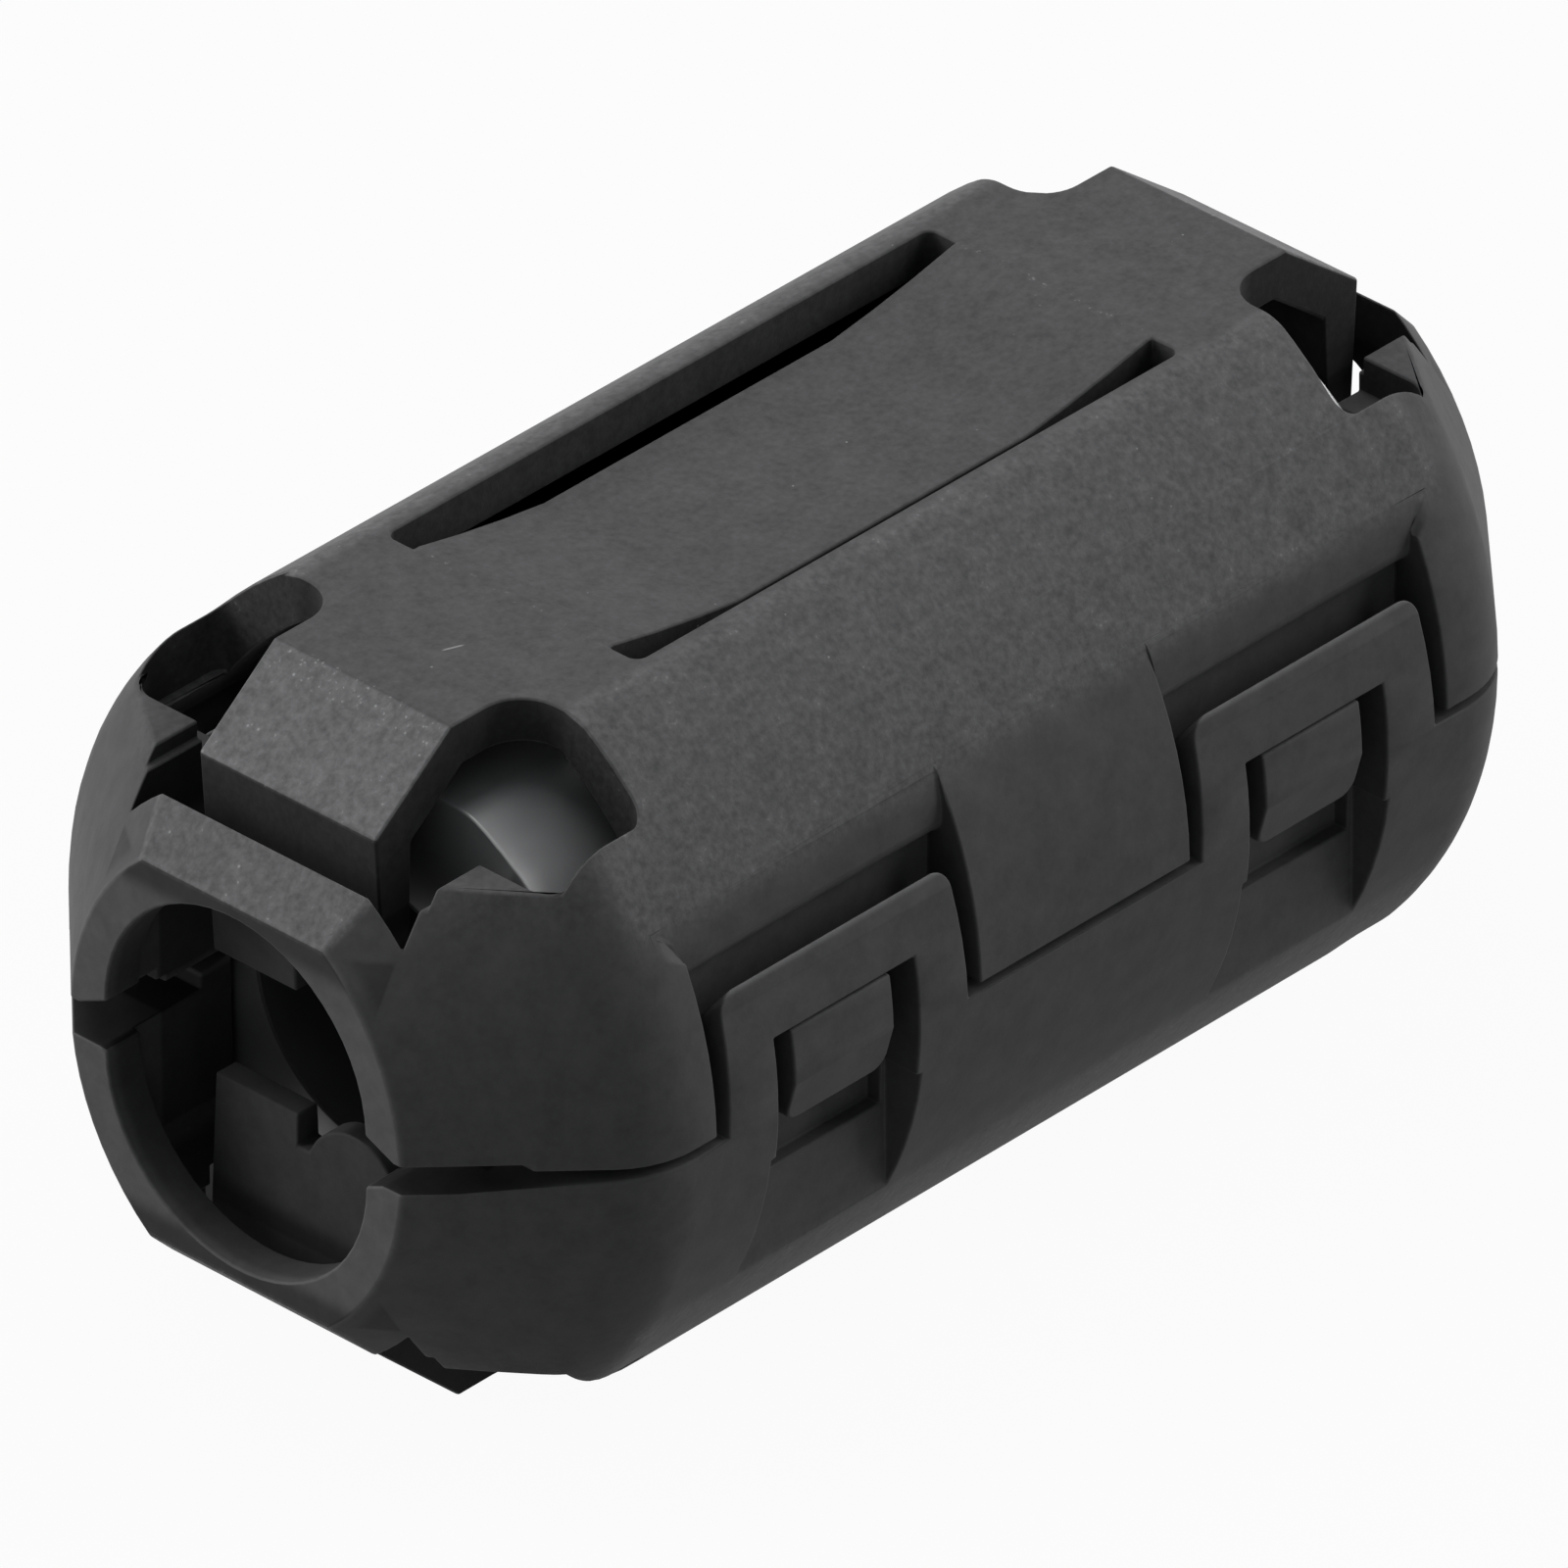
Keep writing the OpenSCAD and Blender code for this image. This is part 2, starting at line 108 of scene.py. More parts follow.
class Sock:
    """An output socket whose arithmetic adds Math nodes."""

    def __init__(self, shader: "Shader", socket: bpy.types.NodeSocket) -> None:
        """Wraps one socket.

        Args:
            shader: The shader that the socket belongs to.
            socket: The output socket.
        """
        self.shader = shader
        self.socket = socket

    def maths(self, operation: str, *others: Feed) -> "Sock":
        """Adds a Math node.

        Args:
            operation: The Math node's operation.
            others: What feeds the node's other inputs.

        Returns:
            The node's value.
        """
        feeds = dict(enumerate((self, *others)))
        return self.shader.node("ShaderNodeMath", {"operation": operation}, feeds)

    def __add__(self, other: Feed) -> "Sock":
        """Sum."""
        return self.maths("ADD", other)

    def __radd__(self, other: Feed) -> "Sock":
        """Sum with the wrapped socket on the right."""
        return self.maths("ADD", other)

    def __sub__(self, other: Feed) -> "Sock":
        """Difference."""
        return self.maths("SUBTRACT", other)

    def __rsub__(self, other: Feed) -> "Sock":
        """Difference with the wrapped socket on the right."""
        return self.maths("MULTIPLY", -1.0).maths("ADD", other)

    def __mul__(self, other: Feed) -> "Sock":
        """Product."""
        return self.maths("MULTIPLY", other)

    def __rmul__(self, other: Feed) -> "Sock":
        """Product with the wrapped socket on the right."""
        return self.maths("MULTIPLY", other)

    def __truediv__(self, other: Feed) -> "Sock":
        """Quotient."""
        return self.maths("DIVIDE", other)

    def __pow__(self, other: Feed) -> "Sock":
        """Power."""
        return self.maths("POWER", other)

    def __abs__(self) -> "Sock":
        """Absolute value."""
        return self.maths("ABSOLUTE")

    def step(self, zero: float, one: float) -> "Sock":
        """Goes smoothly from 0 at one value to 1 at another.

        Args:
            zero: The value that gives 0.
            one: The value that gives 1, which may be the smaller.

        Returns:
            The smooth step.
        """
        settings = {"interpolation_type": "SMOOTHSTEP"}
        feeds = {"Value": self, "From Min": zero, "From Max": one}
        return self.shader.node("ShaderNodeMapRange", settings, feeds)


class Shader:
    """A material or a world, and the nodes that make it."""

    def __init__(self, owner: str | bpy.types.World) -> None:
        """Starts an empty node tree.

        Args:
            owner: The name of a new material, or the world to shade.
        """
        self.owner = bpy.data.materials.new(owner) if isinstance(owner, str) else owner
        self.owner.use_nodes = True
        self.tree = self.owner.node_tree
        self.tree.nodes.clear()

    def node(
        self,
        kind: str,
        settings: dict[str, Any] | None = None,
        feeds: dict[str | int, Feed] | None = None,
        out: str | int | None = 0,
    ) -> Sock | None:
        """Adds a node of any type.

        Args:
            kind: The node's type.
            settings: Its settings, such as an operation, which are made first.
            feeds: Values or links for its input sockets, by name or number.
            out: The output that is wanted, or None at the end of a tree.

        Returns:
            That output.
        """
        made = self.tree.nodes.new(kind)
        for name, value in (settings or {}).items():
            setattr(made, name, value)
        for name, value in (feeds or {}).items():
            if isinstance(value, Sock):
                self.tree.links.new(value.socket, made.inputs[name])
            else:
                made.inputs[name].default_value = value
        return None if out is None else Sock(self, made.outputs[out])

    def place(self) -> Sock:
        """Object coordinates, in metres."""
        return self.node("ShaderNodeTexCoord", out="Object")

    def axes(self, output: str = "Object") -> tuple[Sock, Sock, Sock]:
        """Splits one of the coordinates that a surface has.

        Args:
            output: The Texture Coordinate output: Object, in metres, or Normal.

        Returns:
            Its three axes.
        """
        vector = self.node("ShaderNodeTexCoord", out=output)
        split = self.node("ShaderNodeSeparateXYZ", feeds={0: vector})
        outputs = split.socket.node.outputs
        return tuple(Sock(self, outputs[i]) for i in range(3))

    def noise(self, size_mm: float, detail: float = 2.0, rough: float = 0.5) -> Sock:
        """Noise whose features measure about one size.

        Args:
            size_mm: The size of the features.
            detail: The number of finer layers.
            rough: How strong the finer layers are.

        Returns:
            The noise, from 0 to 1.
        """
        feeds = {
            "Vector": self.place(),
            "Scale": 1 / (size_mm * MM),
            "Detail": detail,
            "Roughness": rough,
        }
        return self.node("ShaderNodeTexNoise", feeds=feeds, out="Fac")

    def specks(self, spacing_mm: float, radius: float) -> Sock:
        """Small round specks, one in each cell.

        Args:
            spacing_mm: The distance between specks.
            radius: A speck's radius, as a share of that distance.

        Returns:
            1 in a speck and 0 outside.
        """
        feeds = {"Vector": self.place(), "Scale": 1 / (spacing_mm * MM)}
        distance = self.node("ShaderNodeTexVoronoi", feeds=feeds, out="Distance")
        return distance.step(radius, radius * SPECK_CORE)

    def mix_colours(self, factor: Feed, a: Feed, b: Feed) -> Sock:
        """Mixes two colours.

        Args:
            factor: 0 for the first and 1 for the second.
            a: The first colour, with alpha.
            b: The second colour, with alpha.

        Returns:
            The mixed colour.
        """
        feeds = {0: factor, 6: a, 7: b}  # inputs 6 and 7 take colours
        return self.node("ShaderNodeMix", {"data_type": "RGBA"}, feeds, out=2)

    def toned(self, colour: Colour, gain: Sock) -> Sock:
        """Lightens or darkens a colour.

        Args:
            colour: The colour.
            gain: What it is multiplied by.

        Returns:
            The toned colour.
        """
        factor = gain * (1 / MOST_GAIN)
        return self.mix_colours(factor, alpha(colour, 0.0), alpha(colour, MOST_GAIN))

    def bump(self, height: Sock, depth_mm: float) -> Sock:
        """Turns a height into a bumped normal.

        Args:
            height: The height, from 0 to 1.
            depth_mm: How deep the full height is.

        Returns:
            The normal.
        """
        feeds = {"Strength": 1.0, "Distance": depth_mm * MM, "Height": height}
        return self.node("ShaderNodeBump", feeds=feeds)

    def close(self, surface: Sock) -> bpy.types.Material:
        """Ends the shader in a material output.

        Args:
            surface: The finished surface.

        Returns:
            The material.
        """
        self.node("ShaderNodeOutputMaterial", feeds={"Surface": surface}, out=None)
        return self.owner


def alpha(colour: Colour, gain: float = 1.0) -> tuple[float, float, float, float]:
    """A colour, lightened or darkened, with an alpha of 1."""
    return (colour[0] * gain, colour[1] * gain, colour[2] * gain, 1.0)


# ----------------------------------------------------------------------- finishes


@dataclass(frozen=True)
class Region:
    """A stretch of the bead, in mm from its middle, bounded by fades along each axis."""

    x: tuple[Fade, ...] = ()
    y: tuple[Fade, ...] = ()
    z: tuple[Fade, ...] = ()

    def mask(self, x: Sock, y: Sock, z: Sock) -> Sock:
        """Builds the region's mask.

        Args:
            x: The place along the bead, in mm.
            y: The same across it.
            z: The same upwards.

        Returns:
            1 in the region and 0 outside it.
        """
        bounded = ((x, self.x), (y, self.y), (z, self.z))
        return math.prod(axis.step(*fade) for axis, fades in bounded for fade in fades)


class Spot:
    """Where a point of the surface lies, in mm from the middle, and how it faces."""

    def __init__(self, shader: Shader) -> None:
        """Reads the place and the facing.

        Args:
            shader: The shader.
        """
        self.x, self.y, self.z = (axis / MM for axis in shader.axes())
        self.folded = tuple(abs(axis) for axis in (self.x, self.y, self.z))
        self.endwise, _, self.upwards = (abs(axis) for axis in shader.axes("Normal"))

    def within(self, region: Region) -> Sock:
        """1 in a region and its mirror images, since the ends and halves are alike."""
        return region.mask(*self.folded)


@dataclass(frozen=True)
class NylonFinish:
    """Charcoal nylon from a spark-eroded mould, smoother on the walls inside it, with painted
    light on some outer faces and painted shade on the inner walls.

    A region's gain says how much painted light lightens the nylon there, or how much
    painted shade darkens the inner walls.
    """

    name: str = "charcoal_nylon"
    tone: Colour = (0.068, 0.067, 0.069)
    roughness: float = 0.6
    roughness_spread: float = 0.2
    specular: float = 0.04

    # Texture: soft clouds and a grain that is coarser on the end faces and the crown.
    cloud_mm: float = 0.5
    cloud_layers: float = 4.0
    cloud_gain: float = 0.5
    grain_mm: float = 0.14
    grain_layers: float = 3.0
    grain_layer_gain: float = 0.6
    grain_gain: float = 0.3
    grain_depth_mm: float = 0.004
    coarseness: float = 1.3
    coarse_top: float = 0.5
    coarse_grain_gain: float = 0.7

    # Painted light: lighter faces where light falls, a finger's slope, an end plate's slope,
    # the end ring and the crown beside the flat top, and a painted highlight on the top rims
    # of the latch loops at the front.
    finger: Region = Region(x=((9.52, 9.58), (11.38, 11.32)))
    finger_lean: float = 0.765
    finger_plane: Fade = (13.42, 13.48)
    finger_light_gain: float = 0.75
    plate: Region = Region(x=((11.52, 11.58),))
    plate_lean: float = 0.974
    plate_plane: Fade = (15.57, 15.63)
    plate_corner: Fade = (16.03, 15.97)
    plate_light_gain: float = 0.5
    ring: Region = Region(x=((12.42, 12.48),))
    ring_light_gain: float = 0.22
    crown: Region = Region(x=((9.5, 9.0),), y=((2.7, 3.0),), z=((3.2, 3.8),))
    crown_light_gain: float = 0.36
    rim: Region = Region(x=((2.5, 2.6), (8.3, 8.2)), y=((-5.85, -5.9),), z=((2.2, 2.3),))
    rim_highlight_gain: float = 0.8

    # Painted shade: darker upright walls in the slots and corner openings, darker jambs of the
    # latch recesses, ledges at the parting line, the hollow end and the core's pocket.
    upright: Fade = (0.35, 0.2)
    level: Fade = (0.8, 0.9)
    crosswise: Fade = (0.6, 0.8)
    wall: Region = Region(y=((5.1, 5.0),), z=((2.8, 3.2),))
    wall_shade_gain: float = 0.4
    opening: Region = Region(x=((7.2, 7.4),))
    opening_shade_gain: float = 0.18
    jamb: Region = Region(x=((8.6, 8.5),), y=((4.7, 4.8),), z=((3.6, 3.5),))
    jamb_shade_gain: float = 0.33
    ledge: Region = Region(x=((9.0, 9.1),), z=((0.15, 0.25), (1.1, 1.0)))
    ledge_shade_gain: float = 0.7
    hollow: Region = Region(x=((9.3, 9.5), (12.4, 12.2)), y=((2.95, 2.9),), z=((3.45, 3.35),))
    hollow_shade_gain: float = 0.33
    pocket: Region = Region(
        x=((9.3, 9.5), (11.2, 11.1)), y=((2.9, 2.95), (4.2, 4.1)), z=((0.15, 0.25), (2.6, 2.5))
    )
    pocket_shade_gain: float = 0.6

    # Pale specks: painted glints on the coarse faces, specks along the fold and the end ridge
    # of the top, dust in patches of the top, and one short scratch there.
    speck_tone: Colour = (0.36, 0.36, 0.36)
    speck_mm: float = 0.09
    speck_radius: float = 0.35
    glints: Fade = (0.34, 0.42)
    glints_crown: float = 0.4
    glints_pale: float = 0.45
    top: Region = Region(z=((3.5, 4.5),))
    fold: Region = Region(x=((6.1, 6.18), (6.3, 6.22)), y=((2.2, 2.1),))
    fold_share: float = 0.5
    ridge: Region = Region(x=((9.42, 9.62), (10.02, 9.82)), y=((1.9, 1.6),))
    line: Fade = (0.5, 0.6)
    line_pale: float = 0.5
    dust_mm: float = 0.45
    dust_radius: float = 0.055
    dust_patch_mm: float = 2.5
    dust_patch_layers: float = 1.0
    dust_patch: Fade = (0.56, 0.62)
    dust_pale: float = 0.4
    scratch_mm: tuple[float, float] = (-7.87, -0.35)
    scratch_turn: tuple[float, float] = (0.927, -0.375)
    scratch_along: Fade = (0.22, 0.11)
    scratch_across: Fade = (0.03, 0.009)
    scratch_pale: float = 0.5

    def slopes(self, spot: Spot) -> tuple[Sock, Sock]:
        """Masks the sloping end faces, where the texture is coarsest and light is painted.

        Args:
            spot: The point of the surface.

        Returns:
            A mask of the fingers' slopes and one of the plates'.
        """
        x, y, z = spot.folded
        finger = spot.within(self.finger) * (z + x * self.finger_lean).step(*self.finger_plane)
        plate = spot.within(self.plate) * (z + x * self.plate_lean).step(*self.plate_plane)
        return finger, plate * (x + y).step(*self.plate_corner)

    def shade(self, spot: Spot) -> Sock:
        """Paints shade on the inner walls, jambs, ledges, hollow ends and the core's pocket.

        Args:
            spot: The point of the surface.

        Returns:
            The share of the tone that is left.
        """
        deeper = self.wall_shade_gain + spot.within(self.opening) * self.opening_shade_gain
        wall = spot.upwards.step(*self.upright) * spot.within(self.wall) * deeper
        jamb = spot.endwise.step(*self.crosswise) * spot.within(self.jamb) * self.jamb_shade_gain
        ledge = spot.upwards.step(*self.level) * spot.within(self.ledge) * self.ledge_shade_gain
        hollow = spot.within(self.hollow) * self.hollow_shade_gain
        pocket = spot.within(self.pocket) * self.pocket_shade_gain
        return (1 - wall.maths("MAXIMUM", jamb)) * (1 - ledge) * (1 - (hollow + pocket))

    def scratch(self, spot: Spot) -> Sock:
        """1 on the short scratch on the top, beside a finger.

        Args:
            spot: The point of the surface.

        Returns:
            The mask.
        """
        mid_x, mid_y = self.scratch_mm
        turn_x, turn_y = self.scratch_turn
        x, y = spot.x - mid_x, spot.y - mid_y
        along = abs(x * turn_x + y * turn_y)
        across = abs(y * turn_x - x * turn_y)
        return along.step(*self.scratch_along) * across.step(*self.scratch_across)

    def specks(
        self, shader: Shader, spot: Spot, cloud: Sock, grain: Sock, coarse_faces: Sock
    ) -> Sock:
        """Scatters the pale specks, with the painted glints on the coarse faces, the dust and
        the scratch.

        Args:
            shader: The shader.
            spot: The point of the surface.
            cloud: The soft clouds.
            grain: The grain.
            coarse_faces: How readily painted glints lie on the coarse faces.

        Returns:
            How pale the surface is, from 0 to 1.
        """
        top = spot.within(self.top)
        sparkle = shader.specks(self.speck_mm, self.speck_radius)
        # painted glints: pale specks where light catches the coarse faces
        glints = sparkle * (cloud * grain).step(*self.glints) * coarse_faces
        ridges = spot.within(self.fold) * self.fold_share + spot.within(self.ridge)
        lines = sparkle * grain.step(*self.line) * ridges * top
        patches = shader.noise(self.dust_patch_mm, self.dust_patch_layers)
        patches = patches.step(*self.dust_patch)
        dust = shader.specks(self.dust_mm, self.dust_radius) * patches * top
        pale = (glints * self.glints_pale).maths("MAXIMUM", dust * self.dust_pale)
        pale = pale.maths("MAXIMUM", lines * self.line_pale)
        return pale.maths("MAXIMUM", self.scratch(spot) * top * self.scratch_pale)

    def build(self) -> bpy.types.Material:
        """Builds the material.

        Returns:
            The finished material.
        """
        shader = Shader(self.name)
        spot = Spot(shader)
        finger, plate = self.slopes(spot)
        crown = spot.within(self.crown)
        rim = self.rim.mask(spot.folded[0], spot.y, spot.z)
        # painted light: the lit slopes, the end ring and the crown are lightened, with a painted
        # highlight on the loop rims
        gain = 1 + finger * self.finger_light_gain + plate * self.plate_light_gain
        gain = gain + spot.within(self.ring) * self.ring_light_gain
        gain = gain + crown * self.crown_light_gain + rim * self.rim_highlight_gain

        cloud = shader.noise(self.cloud_mm, self.cloud_layers)
        grain = shader.noise(self.grain_mm, self.grain_layers, self.grain_layer_gain)
        top = spot.within(self.top) * self.coarse_top
        coarse = (finger + plate + crown).maths("MAXIMUM", top) * self.coarseness
        contrast = self.grain_gain + coarse * self.coarse_grain_gain
        clouds = (cloud - NOISE_MEAN) * self.cloud_gain
        tone = 1 + clouds + (grain - NOISE_MEAN) * contrast
        # painted shade on the inner walls darkens the toned colour
        colour = shader.toned(self.tone, gain * tone * self.shade(spot))

        faces = finger + plate + crown * self.glints_crown
        pale = self.specks(shader, spot, cloud, grain, faces)
        feeds = {
            "Base Color": shader.mix_colours(pale, colour, alpha(self.speck_tone)),
            "Roughness": self.roughness + (grain - NOISE_MEAN) * self.roughness_spread,
            "Specular IOR Level": self.specular,
            "Normal": shader.bump(grain * (1 + coarse), self.grain_depth_mm),
        }
        return shader.close(shader.node("ShaderNodeBsdfPrincipled", feeds=feeds))


@dataclass(frozen=True)
class FerriteFinish:
    """Tumbled dark ferrite, ground outside and matt as fired in the bore, with a painted
    highlight on the outer shoulders and painted shade in the bore.
    """

    name: str = "ferrite"
    cloud_mm: float = 0.8
    cloud_layers: float = 3.0
    grain_mm: float = 0.03
    grain_depth_mm: float = 0.001

    # The outside, with a painted highlight on its shoulders.
    tone: Colour = (0.06, 0.06, 0.062)
    cloud_gain: float = 0.2
    shoulder_highlight: Region = Region(y=((0.8, 1.8),), z=((2.6, 3.8),))
    shoulder_highlight_gain: float = 2.8
    roughness: float = 0.4
    roughness_spread: float = 0.15
    ior: float = 2.3

    # The bore, within this radius of the middle line, darker with painted shade.
    bore_mm: float = 2.6
    bore_edge_mm: float = 0.05
    painted_shade_bore_tone: Colour = (0.034, 0.034, 0.035)
    fired_cloud_gain: float = 0.4
    fired_roughness: float = 0.7
    fired_specular: float = 0.3

    def ground(self, shader: Shader, spot: Spot, cloud: Sock, normal: Sock) -> Sock:
        """The ground and tumbled outside, paler on its shoulders, where a highlight is painted.

        Args:
            shader: The shader.
            spot: The point of the surface.
            cloud: The soft clouds.
            normal: The bumped normal.

        Returns:
            The surface.
        """
        clouds = 1 + (cloud - NOISE_MEAN) * self.cloud_gain
        # painted highlight on the shoulders
        gain = clouds * (1 + spot.within(self.shoulder_highlight) * self.shoulder_highlight_gain)
        feeds = {
            "Base Color": shader.toned(self.tone, gain),
            "Roughness": self.roughness + (cloud - NOISE_MEAN) * self.roughness_spread,
            "IOR": self.ior,
            "Normal": normal,
        }
        return shader.node("ShaderNodeBsdfPrincipled", feeds=feeds)

    def shaded_matt_bore(self, shader: Shader, cloud: Sock, normal: Sock) -> Sock:
        """The bore, left matt as the kiln leaves it, and darkened with painted shade.

        Args:
            shader: The shader.
            cloud: The soft clouds.
            normal: The bumped normal.

        Returns:
            The surface.
        """
        # painted shade: the bore's tone is darker
        gain = 1 + (cloud - NOISE_MEAN) * self.fired_cloud_gain
        feeds = {
            "Base Color": shader.toned(self.painted_shade_bore_tone, gain),
            "Roughness": self.fired_roughness,
            "Specular IOR Level": self.fired_specular,
            "Normal": normal,
        }
        return shader.node("ShaderNodeBsdfPrincipled", feeds=feeds)

    def build(self) -> bpy.types.Material:
        """Builds the material.

        Returns:
            The finished material.
        """
        shader = Shader(self.name)
        spot = Spot(shader)
        cloud = shader.noise(self.cloud_mm, self.cloud_layers)
        normal = shader.bump(shader.noise(self.grain_mm), self.grain_depth_mm)
        inner = self.bore_mm - self.bore_edge_mm
        outside = (spot.y * spot.y + spot.z * spot.z).step(inner**2, self.bore_mm**2)
        feeds = {
            0: outside,
            1: self.shaded_matt_bore(shader, cloud, normal),
            2: self.ground(shader, spot, cloud, normal),
        }
        return shader.close(shader.node("ShaderNodeMixShader", feeds=feeds))


# ------------------------------------------------------------------ mesh helpers


def finished_object(
    bm: bmesh.types.BMesh, name: str, material: bpy.types.Material
) -> bpy.types.Object:
    """Turns a bmesh into a smooth-shaded object at the origin.

    Args:
        bm: The mesh, which is freed.
        name: The object's name.
        material: Its finish.

    Returns:
        The object.
    """
    mesh = bpy.data.meshes.new(name)
    bm.to_mesh(mesh)
    bm.free()
    mesh.materials.append(material)
    for face in mesh.polygons:
        face.use_smooth = True
    made = bpy.data.objects.new(name, mesh)
    bpy.context.scene.collection.objects.link(made)
    return made


def solid_mesh(node: str, weld_mm: float = 0.001) -> bmesh.types.BMesh:
    """Copies a node's solid as a mesh without doubled vertices.

    Args:
        node: The CAD node.
        weld_mm: Vertices closer than this are merged.

    Returns:
        The mesh.
    """
    bm = bmesh.new()
    bm.from_mesh(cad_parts[node].data)
    bmesh.ops.remove_doubles(bm, verts=bm.verts, dist=weld_mm * MM)
    return bm


def joined(a: bmesh.types.BMesh, b: bmesh.types.BMesh) -> bmesh.types.BMesh:
    """Joins two closed meshes that touch into one.

    Args:
        a: The first mesh, which is freed.
        b: The second mesh, which is freed.

    Returns:
        Their union.
    """
    pair = []
    for bm in (a, b):
        mesh = bpy.data.meshes.new("part")
        bm.to_mesh(mesh)
        bm.free()
        part = bpy.data.objects.new("part", mesh)
        bpy.context.scene.collection.objects.link(part)
        pair.append(part)
    union = pair[0].modifiers.new("union", "BOOLEAN")
    union.operation = "UNION"
    union.solver = "EXACT"
    union.object = pair[1]
    result = bmesh.new()
    result.from_object(pair[0], bpy.context.evaluated_depsgraph_get())
    for part in pair:
        mesh = part.data
        bpy.data.objects.remove(part)
        bpy.data.meshes.remove(mesh)
    return result


def bevel_edges(
    bm: bmesh.types.BMesh,
    edges: Sequence[bmesh.types.BMEdge],
    offset_mm: float,
    segments: int,
) -> None:
    """Rounds edges of a mesh.

    Args:
        bm: The mesh.
        edges: The edges to round.
        offset_mm: How far from the edge the rounding starts.
        segments: The faces across the rounding.
    """
    bmesh.ops.bevel(
        bm,
        geom=list(edges),
        offset=offset_mm * MM,
        offset_type="OFFSET",
        segments=segments,
        profile=0.5,
        affect="EDGES",
        clamp_overlap=False,
        material=-1,
    )


@dataclass
class Skin:
    """Dresses the solids of one moulding in a copy with rounded edges.

    Long blunt ridges blend softly, and so do the brows over the latch recesses. Every
    other crease has a small radius, except around a ground bore, which stays sharp.
    """

    name: str
    nodes: tuple[str, ...]
    body: Body
    slot: Slot

    # The radius of a crease, and the angle from which an edge is one.
    round_mm: float = 0.05
    round_segments: int = 3
    crease_deg: float = 17.0
    bore_mm: float = 0.0

    # The blend of long blunt ridges and of brows, told apart by their lengths.
    soft_mm: float = 0.25
    soft_segments: int = 6
    blunt_deg: tuple[float, float] = (26.0, 36.0)
    soft_length_mm: float = 10.0
    brow_mm: float = 0.42
    brow_length_mm: float = 5.0
    brow_straight: float = 0.99

    # The slope at the top of a latch loop: its drop, and the band that is lowered.
    lead_in_mm: float = 0.55
    lead_in_zone_mm: float = 0.45
    flush_mm: float = 0.01

    # Cleaning: flat faces merged, spikes put back, slivers welded, edges left sharp.
    flat_deg: float = 0.3
    spike_share: float = 0.6
    weld_mm: float = 0.006
    sharp_deg: float = 60.0
    face_weight: int = 100

    def slope_lead_in(self, loop: bmesh.types.BMesh) -> None:
        """Slopes a latch loop's top inwards, so that it rides over its hook.

        Args:
            loop: The loop's mesh, whose inner face is its farthest back.
        """
        inner = max(vert.co.y for vert in loop.verts) - self.flush_mm * MM
        zone = max(vert.co.z for vert in loop.verts) - self.lead_in_zone_mm * MM
        for vert in loop.verts:
            if vert.co.y > inner and vert.co.z > zone:
                vert.co.z -= self.lead_in_mm * MM

    def gather(self) -> bmesh.types.BMesh:
        """Joins the solids, the first of which is the shell.

        Returns:
            One clean mesh.
        """
        bm = solid_mesh(self.nodes[0])
        for node in self.nodes[1:]:
            loop = solid_mesh(node)
            self.slope_lead_in(loop)
            bm = joined(bm, loop)
        bmesh.ops.dissolve_limit(
            bm, angle_limit=math.radians(self.flat_deg), verts=bm.verts, edges=bm.edges
        )
        return bm

    def is_blunt(self, edge: bmesh.types.BMEdge) -> bool:
        """Whether an edge is a blunt ridge.

        Args:
            edge: A manifold edge.

        Returns:
            True for a convex edge within the angles that blend softly.
        """
        low, high = (math.radians(angle) for angle in self.blunt_deg)
        return edge.is_convex and low < edge.calc_face_angle(0) < high

    def is_soft(self, edge: bmesh.types.BMEdge) -> bool:
        """Whether an edge is one of the long blunt ones that blend softly.

        Args:
            edge: A manifold edge.

        Returns:
            True for a long blunt ridge.
        """
        return self.is_blunt(edge) and edge.calc_length() > self.soft_length_mm * MM

    def is_brow(self, edge: bmesh.types.BMEdge) -> bool:
        """Whether an edge is the brow over a latch recess, which fades into the side.

        Args:
            edge: A manifold edge.

        Returns:
            True for a blunt ridge of middling length at the front, along the bead.
        """
        first, second = (vert.co for vert in edge.verts)
        middling = self.brow_length_mm < edge.calc_length() / MM < self.soft_length_mm
        along = abs(first.x - second.x) > self.brow_straight * edge.calc_length()
        return self.is_blunt(edge) and middling and along and first.y < 0

    def is_crease(self, edge: bmesh.types.BMEdge) -> bool:
        """Whether an edge is a crease to round, outside a ground bore that stays sharp.

        Args:
            edge: A manifold edge.

        Returns:
            True for a crease that is rounded.
        """
        first, second = (vert.co for vert in edge.verts)
        radius = math.hypot(first.y + second.y, first.z + second.z) / 2
        outside = radius > self.bore_mm * MM
        return outside and edge.calc_face_angle(0) > math.radians(self.crease_deg)

    def round_edges(self, bm: bmesh.types.BMesh) -> None:
        """Gives every crease its moulded radius.

        Args:
            bm: The mesh.
        """
        soft = [e for e in bm.edges if e.is_manifold and self.is_soft(e)]
        bevel_edges(bm, soft, self.soft_mm, self.soft_segments)
        brows = [e for e in bm.edges if e.is_manifold and self.is_brow(e)]
        bevel_edges(bm, brows, self.brow_mm, self.soft_segments)
        surface = BVHTree.FromBMesh(bm)
        sharp = [e for e in bm.edges if e.is_manifold and self.is_crease(e)]
        bevel_edges(bm, sharp, self.round_mm, self.round_segments)
        self.blunt_spikes(bm, surface)
        bmesh.ops.remove_doubles(bm, verts=bm.verts, dist=self.weld_mm * MM)
        for edge in bm.edges:
            edge.smooth = edge.calc_face_angle(0) < math.radians(self.sharp_deg)

